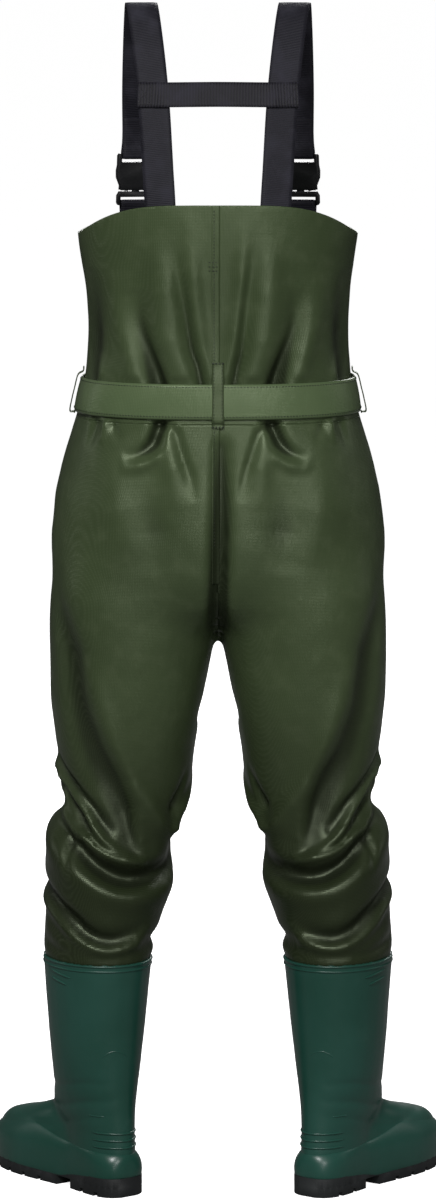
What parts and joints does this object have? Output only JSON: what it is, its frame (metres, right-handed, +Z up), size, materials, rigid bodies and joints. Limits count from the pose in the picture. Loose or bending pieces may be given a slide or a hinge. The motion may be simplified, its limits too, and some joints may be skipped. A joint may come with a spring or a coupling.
{
  "type": "chest waders",
  "caption": "Chest waders: a coated fabric bib and legs welded to moulded boots, with a waist belt in loops and webbing shoulder straps on side-release buckles.",
  "frame": {"origin": "on the ground, under the middle of the whole object's box", "axes": "+Z up, +Y ahead of the wearer (chest, toes), +X to the wearer's right; metres"},
  "size_m": [0.6682, 0.308, 1.7261],
  "materials": {
    "coated_fabric": "olive green coated nylon with a soft satin sheen and a fine weave",
    "belt_fabric": "the same fabric, doubled and pressed, lighter and with more sheen",
    "webbing": "woven black polypropylene webbing, matt with a ribbed weave",
    "buckle_nylon": "black moulded nylon, slightly textured",
    "boot_pvc": "dark teal green moulded PVC with a wet gloss",
    "sole_pvc": "near-black moulded sole, dull",
    "insole_foam": "grey felt-topped foam, matt"
  },
  "bodies": {
    "root": {"bib_panel_left": "coated_fabric", "bib_panel_right": "coated_fabric", "leg_panel_left": "coated_fabric", "leg_panel_right": "coated_fabric", "back_seam_strip": "coated_fabric", "front_seam_strip": "coated_fabric", "seat_seam_strip": "coated_fabric", "fly_seam_strip": "coated_fabric", "hem_facing_left": "coated_fabric", "hem_facing_right": "coated_fabric", "waist_belt": "belt_fabric", "belt_loop_back": "coated_fabric", "belt_loop_left": "coated_fabric", "belt_loop_right": "coated_fabric", "belt_loop_front_left": "coated_fabric", "belt_loop_front_right": "coated_fabric", "shoulder_strap_left": "webbing", "shoulder_strap_right": "webbing", "cross_strap": "webbing", "front_tab_left": "webbing", "front_tab_right": "webbing", "strap_buckle_left_socket": "buckle_nylon", "strap_buckle_right_socket": "buckle_nylon", "belt_buckle_socket": "buckle_nylon", "belt_end_tongue_side": "webbing", "belt_end_socket_side": "webbing", "boot_upper_left": "boot_pvc", "boot_upper_right": "boot_pvc", "boot_top_band_left": "boot_pvc", "boot_top_band_right": "boot_pvc", "outsole_left": "sole_pvc", "outsole_right": "sole_pvc", "insole_left": "insole_foam", "insole_right": "insole_foam"},
    "strap_buckle_left_tongue_body": {"strap_buckle_left_tongue": "buckle_nylon"},
    "strap_buckle_left_arm_a_body": {"strap_buckle_left_arm_a": "buckle_nylon"},
    "strap_buckle_left_arm_b_body": {"strap_buckle_left_arm_b": "buckle_nylon"},
    "strap_buckle_right_tongue_body": {"strap_buckle_right_tongue": "buckle_nylon"},
    "strap_buckle_right_arm_a_body": {"strap_buckle_right_arm_a": "buckle_nylon"},
    "strap_buckle_right_arm_b_body": {"strap_buckle_right_arm_b": "buckle_nylon"},
    "belt_buckle_tongue_body": {"belt_buckle_tongue": "buckle_nylon"},
    "belt_buckle_arm_a_body": {"belt_buckle_arm_a": "buckle_nylon"},
    "belt_buckle_arm_b_body": {"belt_buckle_arm_b": "buckle_nylon"}
  },
  "joints": [
    {"name": "strap_buckle_left_release", "type": "slide", "parent": "root", "child": "strap_buckle_left_tongue_body", "axis": [-0.0349, 0.0499, -0.9981], "range_m": [0, 0.036], "deforming": ["front_tab_left"]},
    {"name": "strap_buckle_left_squeeze_a", "type": "hinge", "parent": "strap_buckle_left_tongue_body", "child": "strap_buckle_left_arm_a_body", "pos_m": [-0.13384, 0.0949, 1.45204], "axis": [-0.3406, 0.9384, 0.0588], "range_deg": [0, 8], "stiffness_Nm_per_rad": 1.5},
    {"name": "strap_buckle_left_squeeze_b", "type": "hinge", "parent": "strap_buckle_left_tongue_body", "child": "strap_buckle_left_arm_b_body", "pos_m": [-0.10659, 0.10482, 1.45158], "axis": [0.3406, -0.9384, -0.0588], "range_deg": [0, 8], "stiffness_Nm_per_rad": 1.5},
    {"name": "strap_buckle_right_release", "type": "slide", "parent": "root", "child": "strap_buckle_right_tongue_body", "axis": [0.0349, 0.0499, -0.9981], "range_m": [0, 0.036], "deforming": ["front_tab_right"]},
    {"name": "strap_buckle_right_squeeze_a", "type": "hinge", "parent": "strap_buckle_right_tongue_body", "child": "strap_buckle_right_arm_a_body", "pos_m": [0.10659, 0.10482, 1.45158], "axis": [0.3406, 0.9384, 0.0588], "range_deg": [0, 8], "stiffness_Nm_per_rad": 1.5},
    {"name": "strap_buckle_right_squeeze_b", "type": "hinge", "parent": "strap_buckle_right_tongue_body", "child": "strap_buckle_right_arm_b_body", "pos_m": [0.13384, 0.0949, 1.45204], "axis": [-0.3406, -0.9384, -0.0588], "range_deg": [0, 8], "stiffness_Nm_per_rad": 1.5},
    {"name": "belt_buckle_release", "type": "slide", "parent": "root", "child": "belt_buckle_tongue_body", "axis": [1, 0, 0], "range_m": [0, 0.036], "deforming": ["belt_end_tongue_side"]},
    {"name": "belt_buckle_squeeze_a", "type": "hinge", "parent": "belt_buckle_tongue_body", "child": "belt_buckle_arm_a_body", "pos_m": [0.015, 0.14101, 1.1495], "axis": [0, 1, 0], "range_deg": [0, 8], "stiffness_Nm_per_rad": 1.5},
    {"name": "belt_buckle_squeeze_b", "type": "hinge", "parent": "belt_buckle_tongue_body", "child": "belt_buckle_arm_b_body", "pos_m": [0.015, 0.14101, 1.1805], "axis": [0, -1, 0], "range_deg": [0, 8], "stiffness_Nm_per_rad": 1.5}
  ],
  "couplings": [
    {"joint": "strap_buckle_left_squeeze_b", "follows": "strap_buckle_left_squeeze_a", "ratio": 1},
    {"joint": "strap_buckle_right_squeeze_b", "follows": "strap_buckle_right_squeeze_a", "ratio": 1},
    {"joint": "belt_buckle_squeeze_b", "follows": "belt_buckle_squeeze_a", "ratio": 1}
  ]
}
